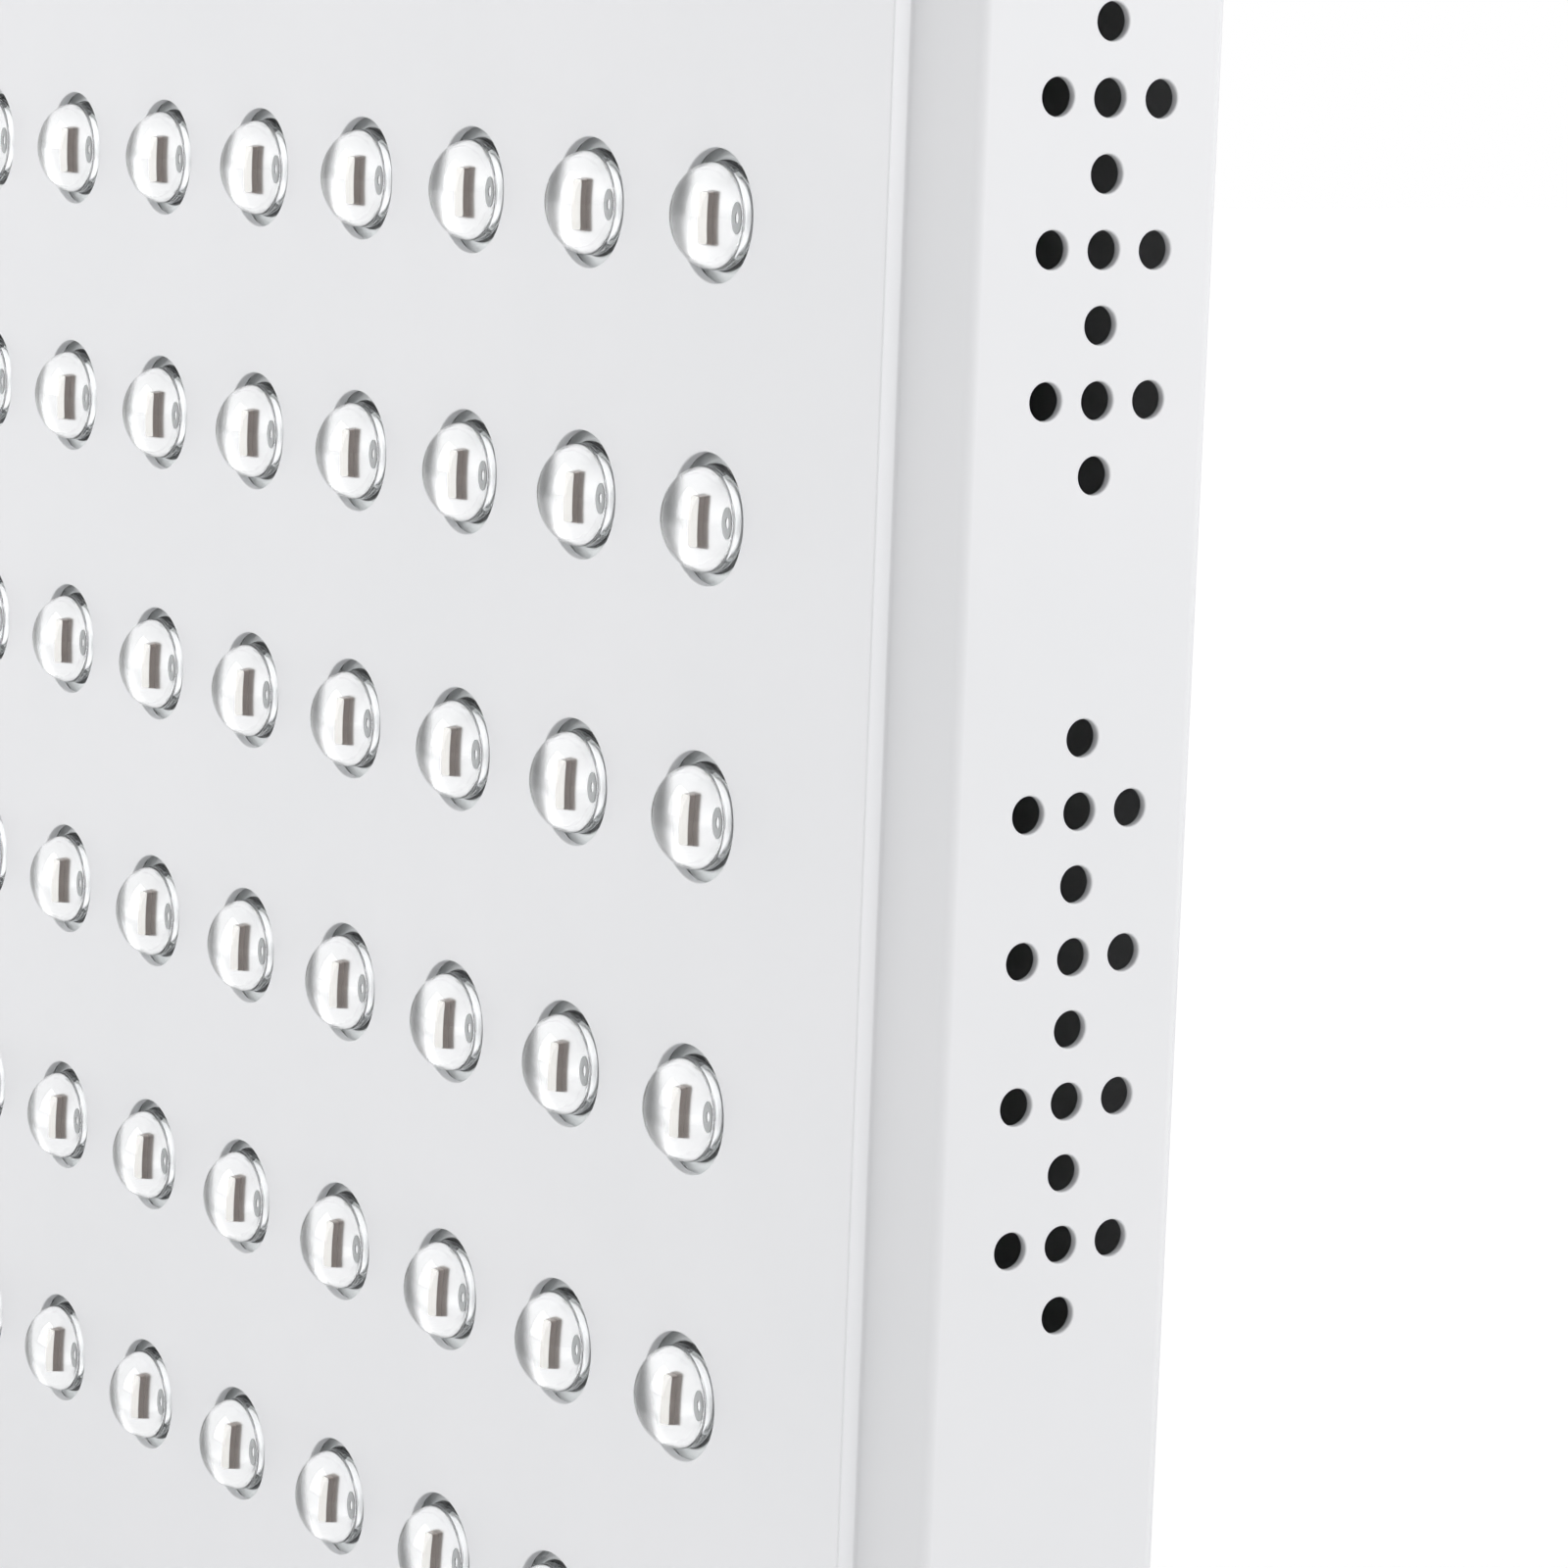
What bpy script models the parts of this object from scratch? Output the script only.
"""Red light therapy panel: a bent sheet housing with a perforated front plate, a grid of clear domed
lenses on long LED boards, a finned heat sink, two fans, two drivers, a fused mains inlet and two rocker
switches.

Metres, +Z up. The front faces -Y. Depths are measured back from the front plate's face, and heights up
from the housing's lower edge; place() turns both into world coordinates. Every size that drives the
model is named in this first section.
"""

import math

import bmesh
import bpy
from mathutils import Euler, Matrix, Vector

# Fits and general allowances
SEAT_GAP = 0.0003
RUNNING_GAP = 0.0003
CUT_OVERRUN = 0.002
WELD_DISTANCE = 0.00001

# Lens grid
LENS_COLUMNS = 8
LENS_ROWS = 9
LENS_COLUMN_PITCH = 0.02525
LENS_ROW_PITCH = 0.032
LENS_DIAMETER = 0.0114
LENS_DOME_HEIGHT = 0.0049
LENS_HOLE_CLEARANCE = 0.0014
LENS_SIDES = 8

# The dome's one ring, as shares of the lens radius and of the dome's height
DOME_RING_RADIUS_SHARE = 0.70
DOME_RING_HEIGHT_SHARE = 0.68

# Sheet metal
SHEET_THICKNESS = 0.001
PLATE_THICKNESS = 0.0012
PLATE_EDGE_RADIUS = 0.001
PLATE_SIDE_MARGIN = 0.0312
PLATE_TOP_MARGIN = 0.039
PLATE_BOTTOM_MARGIN = 0.0506
CHAMFER = 0.0064
HOUSING_DEPTH = 0.037
REAR_BEND = 0.001
FLANGE_WIDTH = 0.012

# Side vents: chains of plus signs, in groups up each side wall
VENT_DIAMETER = 0.004
VENT_ROW_PITCH = 0.00766
VENT_COLUMN_PITCH = 0.00656
VENT_COLUMN_DEPTH = 0.0226
VENT_GROUPS = 2
VENT_GROUP_PITCH = 0.0884
VENT_ROWS_IN_GROUP = 9
VENT_SIDES = 8

# LED boards and heat sink
BOARD_COUNT = 4
BOARD_THICKNESS = 0.0016
BOARD_AIR_GAP = 0.0023
BOARD_SPLIT_GAP = 0.0006
BOARD_END_MARGIN = 0.013
SINK_BASE_THICKNESS = 0.003
SINK_LIP_WIDTH = 0.007
SINK_WALL_CLEARANCE = 0.002
SINK_FIN_HEIGHT = 0.006
SINK_FIN_THICKNESS = 0.0016
SINK_FIN_PITCH = 0.0105
SINK_FIN_COUNT = 9
SINK_END_OVERHANG = 0.003

# Rear cover and its screws
COVER_THICKNESS = 0.001
COVER_INSET = 0.002
COVER_SCREWS_PER_SIDE = 3
COVER_SCREW_END_MARGIN = 0.024
COVER_SCREW_SIDE_MARGIN = 0.009
COVER_SCREW_SHANK_DIAMETER = 0.003
COVER_SCREW_HEAD_DIAMETER = 0.0058
COVER_SCREW_HEAD_HEIGHT = 0.0022
COVER_SCREW_LENGTH = 0.006

# The width of a screw head's crown, as a share of the head's width
SCREW_CROWN_SHARE = 0.72

# Fans
FAN_SIZE = 0.080
FAN_DEPTH = 0.015
FAN_SPACE_BETWEEN = 0.028
FAN_CENTRE_RAISE = 0.018
FAN_RIM_WALL = 0.002
FAN_CORNER_RADIUS = 0.004
FAN_HUB_DIAMETER = 0.034
FAN_MOTOR_PLATE_THICKNESS = 0.002
FAN_STRUT_WIDTH = 0.004
FAN_BLADE_COUNT = 7
FAN_BLADE_THICKNESS = 0.0013
FAN_BLADE_TIP_GAP = 0.0015
FAN_BLADE_INSET = 0.0015
FAN_SHAFT_DIAMETER = 0.003
FAN_HOLE_INSET = 0.00425
FAN_HOLE_DIAMETER = 0.0044
FAN_BLADE_SWEEP_DEG = 44.0

# Shares of a rotor's depth and of its hub's radius
ROTOR_ROUNDING_SHARE = 0.125
BLADE_ROOT_SHARE = 0.8

# How far in from the hub's rim a fan strut starts, as a share of the hub's width
STRUT_START_SHARE = 0.25

# Fan guards and fan screws
GUARD_WIRE_DIAMETER = 0.0016
GUARD_WELD_SINK = 0.0006
GUARD_RING_COUNT = 4
GUARD_HUB_RING_RADIUS = 0.009
GUARD_RIM_OVERLAP = 0.001
GUARD_EYE_RADIUS = 0.0032
FAN_SCREW_SHANK_DIAMETER = 0.0036
FAN_SCREW_HEAD_DIAMETER = 0.0076
FAN_SCREW_HEAD_HEIGHT = 0.0024
FAN_SCREW_LENGTH = 0.012

# Drivers
DRIVER_LENGTH = 0.150
DRIVER_WIDTH = 0.052
DRIVER_HEIGHT = 0.020
DRIVER_EDGE_RADIUS = 0.002
DRIVER_FAN_GAP = 0.010
DRIVER_CENTRE_RAISE = 0.018

# Mains inlet: a three-blade socket over a fuse drawer
INLET_CENTRE_X = -0.066
INLET_SILL = 0.001
INLET_FLANGE_WIDTH = 0.050
INLET_FLANGE_HEIGHT = 0.036
INLET_FLANGE_THICKNESS = 0.0025
INLET_FLANGE_CORNER = 0.004
INLET_BODY_WIDTH = 0.028
INLET_BODY_HEIGHT = 0.032
INLET_BODY_DEPTH = 0.024
INLET_SOCKET_WIDTH = 0.0242
INLET_SOCKET_HEIGHT = 0.0164
INLET_SOCKET_DEPTH = 0.0165
INLET_SOCKET_CORNER = 0.004
INLET_SOCKET_RAISE = 0.0055
INLET_SCREW_SPACING = 0.040
INLET_SCREW_SHANK_DIAMETER = 0.003
INLET_SCREW_HEAD_DIAMETER = 0.0056
INLET_SCREW_HEAD_HEIGHT = 0.002
INLET_SCREW_LENGTH = 0.007
BLADE_SPACING = 0.007
BLADE_EARTH_DROP = 0.004
BLADE_WIDTH = 0.002
BLADE_HEIGHT = 0.004
BLADE_TIP_SETBACK = 0.004
BLADE_TAB_LENGTH = 0.006
DRAWER_WIDTH = 0.0236
DRAWER_HEIGHT = 0.0076
DRAWER_DEPTH = 0.015
DRAWER_DROP = 0.0095
DRAWER_FACE_PROUD = 0.0012
DRAWER_WALL = 0.0012
FUSE_DIAMETER = 0.0052
FUSE_LENGTH = 0.020

# Rocker switches
SWITCH_CENTRE_X = 0.052
SWITCH_SPACING = 0.026
SWITCH_BEZEL_WIDTH = 0.015
SWITCH_BEZEL_HEIGHT = 0.021
SWITCH_BEZEL_THICKNESS = 0.002
SWITCH_BODY_WIDTH = 0.013
SWITCH_BODY_HEIGHT = 0.0188
SWITCH_BODY_DEPTH = 0.014
SWITCH_WALL = 0.0014
ROCKER_PIVOT_DEPTH = 0.002
ROCKER_CROWN = 0.0034
ROCKER_DISH = 0.0012
ROCKER_KEEL = 0.0042
ROCKER_END_DEG = 22.0
ROCKER_TILT_DEG = 10.0
TRUNNION_DIAMETER = 0.0024
TRUNNION_REACH = 0.0008

# Terminal block and inner leads
TERMINAL_WIDTH = 0.030
TERMINAL_DEPTH = 0.014
TERMINAL_HEIGHT = 0.012
TERMINAL_CENTRE_X = -0.010
TERMINAL_CENTRE_DEPTH = 0.018
TERMINAL_WAY_COUNT = 3
TERMINAL_GROOVE_WIDTH = 0.0012
TERMINAL_GROOVE_DEPTH = 0.003
LEAD_DIAMETER = 0.0032
LEAD_POINTS = 7

# Hanging eyes on the top edge
EYE_SPACING = 0.170
EYE_RING_RADIUS = 0.009
EYE_WIRE_DIAMETER = 0.004
EYE_COLLAR_DIAMETER = 0.013
EYE_COLLAR_HEIGHT = 0.003
EYE_COLLAR_ROUNDING = 0.001
EYE_SHANK_DIAMETER = 0.005
EYE_SHANK_LENGTH = 0.009
EYE_NUT_WIDTH = 0.009
EYE_NUT_HEIGHT = 0.004

# Feet
FOOT_DIAMETER = 0.010
FOOT_TAPER = 0.0008
FOOT_HEIGHT = 0.004
FOOT_END_MARGIN = 0.022
FOOT_EDGE_MARGIN = 0.0012

# Sizes that follow from the ones above
LENS_RADIUS = LENS_DIAMETER / 2
LENS_GRID_WIDTH = (LENS_COLUMNS - 1) * LENS_COLUMN_PITCH
LENS_GRID_HEIGHT = (LENS_ROWS - 1) * LENS_ROW_PITCH
PLATE_WIDTH = LENS_GRID_WIDTH + 2 * PLATE_SIDE_MARGIN
PLATE_HEIGHT = LENS_GRID_HEIGHT + PLATE_TOP_MARGIN + PLATE_BOTTOM_MARGIN
HOUSING_WIDTH = PLATE_WIDTH + 2 * CHAMFER
HOUSING_HEIGHT = PLATE_HEIGHT + 2 * CHAMFER
HOUSING_FRONT_DEPTH = PLATE_THICKNESS + SEAT_GAP
FIRST_ROW_HEIGHT = CHAMFER + PLATE_BOTTOM_MARGIN
MID_HEIGHT = HOUSING_HEIGHT / 2
FLANGE_BACK_DEPTH = HOUSING_FRONT_DEPTH + SHEET_THICKNESS

BOARD_FRONT_DEPTH = PLATE_THICKNESS + BOARD_AIR_GAP
BOARD_BACK_DEPTH = BOARD_FRONT_DEPTH + BOARD_THICKNESS
BOARD_LENGTH = LENS_GRID_HEIGHT + 2 * BOARD_END_MARGIN
SINK_FRONT_DEPTH = BOARD_BACK_DEPTH + SEAT_GAP
SINK_BACK_DEPTH = SINK_FRONT_DEPTH + SINK_BASE_THICKNESS
SINK_HALF_WIDTH = PLATE_WIDTH / 2 - SINK_WALL_CLEARANCE
SINK_LENGTH = BOARD_LENGTH + 2 * SINK_END_OVERHANG
LIGHT_CENTRE_HEIGHT = FIRST_ROW_HEIGHT + LENS_GRID_HEIGHT / 2

COVER_FRONT_DEPTH = HOUSING_DEPTH + SEAT_GAP
COVER_BACK_DEPTH = COVER_FRONT_DEPTH + COVER_THICKNESS
FAN_THROAT_DIAMETER = FAN_SIZE - 2 * FAN_RIM_WALL
FAN_HOLE_SPACING = FAN_SIZE - 2 * FAN_HOLE_INSET
FAN_SPACING = FAN_SIZE + FAN_SPACE_BETWEEN
FAN_BACK_DEPTH = COVER_FRONT_DEPTH - SEAT_GAP
FAN_FRONT_DEPTH = FAN_BACK_DEPTH - FAN_DEPTH
FAN_CENTRE_HEIGHT = MID_HEIGHT + FAN_CENTRE_RAISE
GUARD_DEPTH = COVER_BACK_DEPTH + SEAT_GAP + GUARD_WIRE_DIAMETER / 2
GUARD_RING_DEPTH = GUARD_DEPTH + GUARD_WIRE_DIAMETER - GUARD_WELD_SINK
GUARD_BACK_DEPTH = GUARD_RING_DEPTH + GUARD_WIRE_DIAMETER / 2
FAN_SCREW_SEAT_DEPTH = COVER_BACK_DEPTH + 2 * SEAT_GAP + GUARD_WIRE_DIAMETER
INLET_SCREW_SEAT_DEPTH = COVER_BACK_DEPTH + 2 * SEAT_GAP + INLET_FLANGE_THICKNESS
REAR_REACH = max(
    FAN_SCREW_SEAT_DEPTH + FAN_SCREW_HEAD_HEIGHT,
    INLET_SCREW_SEAT_DEPTH + INLET_SCREW_HEAD_HEIGHT,
    GUARD_BACK_DEPTH,
)

INLET_CENTRE_HEIGHT = FLANGE_WIDTH + INLET_SILL + INLET_BODY_HEIGHT / 2
SWITCH_CENTRE_HEIGHT = INLET_CENTRE_HEIGHT

# The origin lies under the middle of the whole panel's depth, lens tips and screw heads included
FRONT_FACE_Y = (LENS_DOME_HEIGHT - REAR_REACH) / 2
HOUSING_BASE_Z = FOOT_HEIGHT + SEAT_GAP

# Turns that point a piece's own Z axis out of the front or out of the back
FORWARD = Euler((math.radians(90), 0, 0))
REARWARD = Euler((math.radians(-90), 0, 0))
SIDEWAYS = Euler((0, math.radians(90), 0))
UPRIGHT = Euler((0, 0, 0))
OUTLINE_ALONG_X = Euler((math.radians(90), 0, math.radians(90)))


def place(x, depth, height):
    """World position of a point at x, this far behind the plate's face and above the housing's edge."""
    return Vector((x, FRONT_FACE_Y + depth, HOUSING_BASE_Z + height))


def clear_scene():
    for old in list(bpy.data.objects):
        bpy.data.objects.remove(old)


def new_collection(name, hidden):
    made = bpy.data.collections.new(name)
    bpy.context.scene.collection.children.link(made)
    made.hide_render = hidden
    return made


clear_scene()
PARTS = new_collection("red_light_therapy_panel", False)
CUTTERS = new_collection("cutters", True)


def finish(name, colour, roughness, metallic):
    """A Principled material with one colour, as linear red, green and blue."""
    material = bpy.data.materials.new(name)
    material.use_nodes = True
    shader = material.node_tree.nodes["Principled BSDF"]
    shader.inputs["Base Color"].default_value = (*colour, 1.0)
    shader.inputs["Roughness"].default_value = roughness
    shader.inputs["Metallic"].default_value = metallic
    return material


WHITE_PAINT = finish("white_powder_coat", (0.80, 0.80, 0.81), 0.45, 0.0)
BOARD_WHITE = finish("white_solder_mask", (0.70, 0.72, 0.74), 0.35, 0.0)
ALUMINIUM = finish("extruded_aluminium", (0.60, 0.61, 0.62), 0.40, 1.0)
BLACK_PLASTIC = finish("black_moulded_plastic", (0.02, 0.02, 0.02), 0.50, 0.0)
GREY_PLASTIC = finish("grey_moulded_plastic", (0.20, 0.20, 0.21), 0.50, 0.0)
BRIGHT_STEEL = finish("bright_plated_steel", (0.62, 0.62, 0.63), 0.25, 1.0)
BRASS = finish("plated_brass", (0.60, 0.46, 0.22), 0.30, 1.0)
RUBBER = finish("black_rubber", (0.03, 0.03, 0.03), 0.80, 0.0)
GLASS = finish("fuse_glass", (0.75, 0.80, 0.82), 0.10, 0.0)


def mesh_object(name, mesh, material, location=(0, 0, 0), turn=UPRIGHT, collection=None):
    """An object that holds the mesh, in the parts' collection unless another is named."""
    made = bpy.data.objects.new(name, mesh)
    made.location = location
    made.rotation_euler = turn
    if material:
        mesh.materials.append(material)
    (collection or PARTS).objects.link(made)
    return made


def helper(name, mesh, location=(0, 0, 0), turn=UPRIGHT):
    """A cutter, or a shape that is joined to another: drawn as wire and left out of the model."""
    made = mesh_object(name, mesh, None, location, turn, CUTTERS)
    made.hide_render = True
    made.display_type = "WIRE"
    return made


def mesh_of(bm, name):
    mesh = bpy.data.meshes.new(name)
    bm.to_mesh(mesh)
    bm.free()
    return mesh


def box_mesh(name, width, depth, height):
    """A box about its own middle, sized along X, Y and Z."""
    bm = bmesh.new()
    bmesh.ops.create_cube(bm, size=1.0)
    bmesh.ops.scale(bm, vec=(width, depth, height), verts=bm.verts)
    return mesh_of(bm, name)


def rounded_box_mesh(name, width, depth, height, radius, axis, segments=2):
    """A box whose four edges along one axis are rounded."""
    bm = bmesh.new()
    bmesh.ops.create_cube(bm, size=1.0)
    bmesh.ops.scale(bm, vec=(width, depth, height), verts=bm.verts)
    along = [e for e in bm.edges if abs((e.verts[0].co - e.verts[1].co).normalized()[axis]) > 0.5]
    bmesh.ops.bevel(bm, geom=along, offset=radius, segments=segments, affect="EDGES", profile=0.5)
    return mesh_of(bm, name)


def disc_mesh(name, diameter, length, sides):
    """A cylinder about its own middle, along Z, with a flat of the polygon facing each axis."""
    bm = bmesh.new()
    turn = Matrix.Rotation(math.pi / sides, 4, "Z")
    radius = diameter / 2
    bmesh.ops.create_cone(
        bm, cap_ends=True, segments=sides, radius1=radius, radius2=radius, depth=length, matrix=turn
    )
    return mesh_of(bm, name)


def turned_mesh(name, profile, sides):
    """The shape that a profile of (radius, height) points sweeps about Z; it runs from the top down."""
    mesh = bpy.data.meshes.new(name + "_profile")
    points = [(radius, 0, height) for radius, height in profile]
    mesh.from_pydata(points, [(i, i + 1) for i in range(len(points) - 1)], [])
    turned = helper(name + "_turned", mesh)
    screw = turned.modifiers.new("Screw", "SCREW")
    screw.steps = sides
    screw.render_steps = sides
    screw.use_merge_vertices = True
    screw.merge_threshold = WELD_DISTANCE
    bpy.context.view_layer.update()
    graph = bpy.context.evaluated_depsgraph_get()
    made = bpy.data.meshes.new_from_object(turned.evaluated_get(graph))
    made.name = name
    bpy.data.objects.remove(turned)
    return made


def outline_mesh(name, points, length):
    """A flat outline in X and Y, filled and drawn out along Z about its own middle."""
    curve = bpy.data.curves.new(name + "_outline", "CURVE")
    curve.dimensions = "2D"
    curve.fill_mode = "BOTH"
    curve.extrude = length / 2
    spline = curve.splines.new("POLY")
    spline.points.add(len(points) - 1)
    for point, (x, y) in zip(spline.points, points):
        point.co = (x, y, 0, 1)
    spline.use_cyclic_u = True
    drawn = helper(name + "_drawn", curve)
    return welded_mesh(name, drawn)


def welded_mesh(name, drawn):
    """A curve object's evaluated mesh with its caps welded on; the curve object is removed."""
    bpy.context.view_layer.update()
    graph = bpy.context.evaluated_depsgraph_get()
    mesh = bpy.data.meshes.new_from_object(drawn.evaluated_get(graph))
    mesh.transform(drawn.matrix_world)
    bm = bmesh.new()
    bm.from_mesh(mesh)
    bmesh.ops.remove_doubles(bm, verts=bm.verts, dist=WELD_DISTANCE)
    bmesh.ops.recalc_face_normals(bm, faces=bm.faces)
    bpy.data.objects.remove(drawn)
    return mesh_of(bm, name)


def repeated_mesh(name, mesh, places):
    """One mesh that holds a copy of another at each place."""
    bm = bmesh.new()
    for location, turn in places:
        before = len(bm.verts)
        bm.from_mesh(mesh)
        bm.verts.ensure_lookup_table()
        matrix = Matrix.Translation(location) @ turn.to_matrix().to_4x4()
        bmesh.ops.transform(bm, matrix=matrix, verts=bm.verts[before:])
    return mesh_of(bm, name)


def boolean(target, other, operation):
    modifier = target.modifiers.new(other.name, "BOOLEAN")
    modifier.operation = operation
    modifier.solver = "EXACT"
    modifier.object = other


def cut(target, other):
    boolean(target, other, "DIFFERENCE")


def join(target, other):
    boolean(target, other, "UNION")


def smooth(target, angle_deg=35.0):
    target.data.shade_smooth()
    target.data.set_sharp_from_angle(angle=math.radians(angle_deg))


def axis_empty(name, location):
    """An empty that marks a joint's axis; the moving pieces are its children."""
    made = bpy.data.objects.new(name, None)
    made.location = location
    PARTS.objects.link(made)
    return made


def hang_on(child, parent):
    """Makes child a child of parent where it already lies."""
    bpy.context.view_layer.update()
    child.parent = parent
    child.matrix_parent_inverse = parent.matrix_world.inverted()


def lens_places():
    """The lens centres as (column, row, x, height), columns from the left and rows from the foot."""
    for column in range(LENS_COLUMNS):
        for row in range(LENS_ROWS):
            x = column * LENS_COLUMN_PITCH - LENS_GRID_WIDTH / 2
            yield column, row, x, FIRST_ROW_HEIGHT + row * LENS_ROW_PITCH


def cover_screw_places():
    """The rear cover's screws as (x, height): one line down each side flange."""
    x = HOUSING_WIDTH / 2 - COVER_SCREW_SIDE_MARGIN
    run = HOUSING_HEIGHT - 2 * COVER_SCREW_END_MARGIN
    for side in (-1, 1):
        for step in range(COVER_SCREWS_PER_SIDE):
            yield side * x, COVER_SCREW_END_MARGIN + run * step / (COVER_SCREWS_PER_SIDE - 1)


def fan_places():
    """The two fans' names and the heights of their centres."""
    yield "upper", FAN_CENTRE_HEIGHT + FAN_SPACING / 2
    yield "lower", FAN_CENTRE_HEIGHT - FAN_SPACING / 2


def fan_screw_offsets():
    for dx in (-1, 1):
        for dz in (-1, 1):
            yield dx * FAN_HOLE_SPACING / 2, dz * FAN_HOLE_SPACING / 2


def switch_places():
    """The two switches' names and the x of their centres."""
    yield "red", SWITCH_CENTRE_X
    yield "infrared", SWITCH_CENTRE_X + SWITCH_SPACING


def edges_of_face(bm, normal_y):
    """The outer edges of the faces that look along -Y or +Y."""
    faces = [f for f in bm.faces if f.normal.y * normal_y > 0.9]
    return {e for f in faces for e in f.edges if any(g not in faces for g in e.link_faces)}


def build_front_plate():
    """The perforated plate: its front rim is rolled, and each lens looks out of its own round hole."""
    bm = bmesh.new()
    bmesh.ops.create_cube(bm, size=1.0)
    bmesh.ops.scale(bm, vec=(PLATE_WIDTH, PLATE_THICKNESS, PLATE_HEIGHT), verts=bm.verts)
    rim = list(edges_of_face(bm, -1))
    bmesh.ops.bevel(bm, geom=rim, offset=PLATE_EDGE_RADIUS, segments=2, affect="EDGES", profile=0.5)
    middle = place(0, PLATE_THICKNESS / 2, CHAMFER + PLATE_HEIGHT / 2)
    plate = mesh_object("front_plate", mesh_of(bm, "front_plate"), WHITE_PAINT, middle)
    hole = disc_mesh(
        "lens_hole",
        LENS_DIAMETER + 2 * LENS_HOLE_CLEARANCE,
        PLATE_THICKNESS + 2 * CUT_OVERRUN,
        LENS_SIDES,
    )
    places = [(place(x, PLATE_THICKNESS / 2, height), FORWARD) for _, _, x, height in lens_places()]
    cut(plate, helper("lens_hole_cutter", repeated_mesh("lens_holes", hole, places)))


def vent_places():
    """The side vents as (depth, height): odd rows of a group hold three holes, even rows hold one."""
    for group in range(VENT_GROUPS):
        centre = MID_HEIGHT + (group - (VENT_GROUPS - 1) / 2) * VENT_GROUP_PITCH
        for row in range(VENT_ROWS_IN_GROUP):
            height = centre + (row - (VENT_ROWS_IN_GROUP - 1) / 2) * VENT_ROW_PITCH
            columns = (-1, 0, 1) if row % 2 else (0,)
            for column in columns:
                yield VENT_COLUMN_DEPTH + column * VENT_COLUMN_PITCH, height


def build_housing():
    """The housing: one bent sheet with chamfered front edges, vented sides and a flange front and back."""
    run = HOUSING_DEPTH - HOUSING_FRONT_DEPTH
    bm = bmesh.new()
    bmesh.ops.create_cube(bm, size=1.0)
    bmesh.ops.scale(bm, vec=(HOUSING_WIDTH, run, HOUSING_HEIGHT), verts=bm.verts)
    bmesh.ops.bevel(bm, geom=list(edges_of_face(bm, -1)), offset=CHAMFER, segments=1, affect="EDGES")
    bmesh.ops.bevel(bm, geom=list(edges_of_face(bm, 1)), offset=REAR_BEND, segments=1, affect="EDGES")
    for side in (-1, 1):
        bm.normal_update()
        face = [f for f in bm.faces if f.normal.y * side > 0.99]
        bmesh.ops.inset_region(bm, faces=face, thickness=FLANGE_WIDTH, use_even_offset=True)
        bmesh.ops.delete(bm, geom=face, context="FACES")
    middle = place(0, HOUSING_FRONT_DEPTH + run / 2, MID_HEIGHT)
    housing = mesh_object("housing_shell", mesh_of(bm, "housing_shell"), WHITE_PAINT, middle)
    wall = housing.modifiers.new("Solidify", "SOLIDIFY")
    wall.thickness = SHEET_THICKNESS
    wall.offset = -1.0
    wall.use_even_offset = True
    vent = disc_mesh("vent", VENT_DIAMETER, HOUSING_WIDTH + 2 * CUT_OVERRUN, VENT_SIDES)
    places = [(place(0, depth, height), SIDEWAYS) for depth, height in vent_places()]
    cut(housing, helper("vent_cutter", repeated_mesh("vents", vent, places)))
    screw_hole = disc_mesh(
        "screw_hole", COVER_SCREW_SHANK_DIAMETER + 2 * RUNNING_GAP, SHEET_THICKNESS + 2 * CUT_OVERRUN, 8
    )
    depth = HOUSING_DEPTH - SHEET_THICKNESS / 2
    places = [(place(x, depth, height), REARWARD) for x, height in cover_screw_places()]
    cut(housing, helper("flange_hole_cutter", repeated_mesh("flange_holes", screw_hole, places)))
    eye_hole = disc_mesh(
        "eye_hole", EYE_SHANK_DIAMETER + 2 * RUNNING_GAP, SHEET_THICKNESS + 2 * CUT_OVERRUN, 8
    )
    height = HOUSING_HEIGHT - SHEET_THICKNESS / 2
    places = [(place(x, eye_depth(), height), UPRIGHT) for _, x in eye_places()]
    cut(housing, helper("eye_hole_cutter", repeated_mesh("eye_holes", eye_hole, places)))


def lens_profile(foot):
    """The lens as (radius, height) points above the board: a straight wall to the plate, then the dome."""
    plate_rise = BOARD_AIR_GAP + PLATE_THICKNESS
    return [
        (0, plate_rise + LENS_DOME_HEIGHT),
        (LENS_RADIUS * DOME_RING_RADIUS_SHARE, plate_rise + LENS_DOME_HEIGHT * DOME_RING_HEIGHT_SHARE),
        (LENS_RADIUS, plate_rise),
        (LENS_RADIUS, -foot),
        (0, -foot),
    ]


def build_boards():
    """The LED boards, each with the lenses of its own columns standing on it."""
    columns_each = LENS_COLUMNS // BOARD_COUNT
    width = columns_each * LENS_COLUMN_PITCH - BOARD_SPLIT_GAP
    lens = turned_mesh("lens", lens_profile(BOARD_THICKNESS / 2), LENS_SIDES)
    lens.transform(Matrix.Rotation(math.pi / LENS_SIDES, 4, "Z"))
    for index in range(BOARD_COUNT):
        x = (index - (BOARD_COUNT - 1) / 2) * columns_each * LENS_COLUMN_PITCH
        depth = (BOARD_FRONT_DEPTH + BOARD_BACK_DEPTH) / 2
        board = mesh_object(
            f"led_board_{index + 1}",
            box_mesh("board", width, BOARD_THICKNESS, BOARD_LENGTH),
            BOARD_WHITE,
            place(x, depth, LIGHT_CENTRE_HEIGHT),
        )
        places = [
            (place(lens_x, BOARD_FRONT_DEPTH, height), FORWARD)
            for column, _, lens_x, height in lens_places()
            if column // columns_each == index
        ]
        join(board, helper(f"lenses_{index + 1}", repeated_mesh("lenses", lens, places)))


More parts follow.
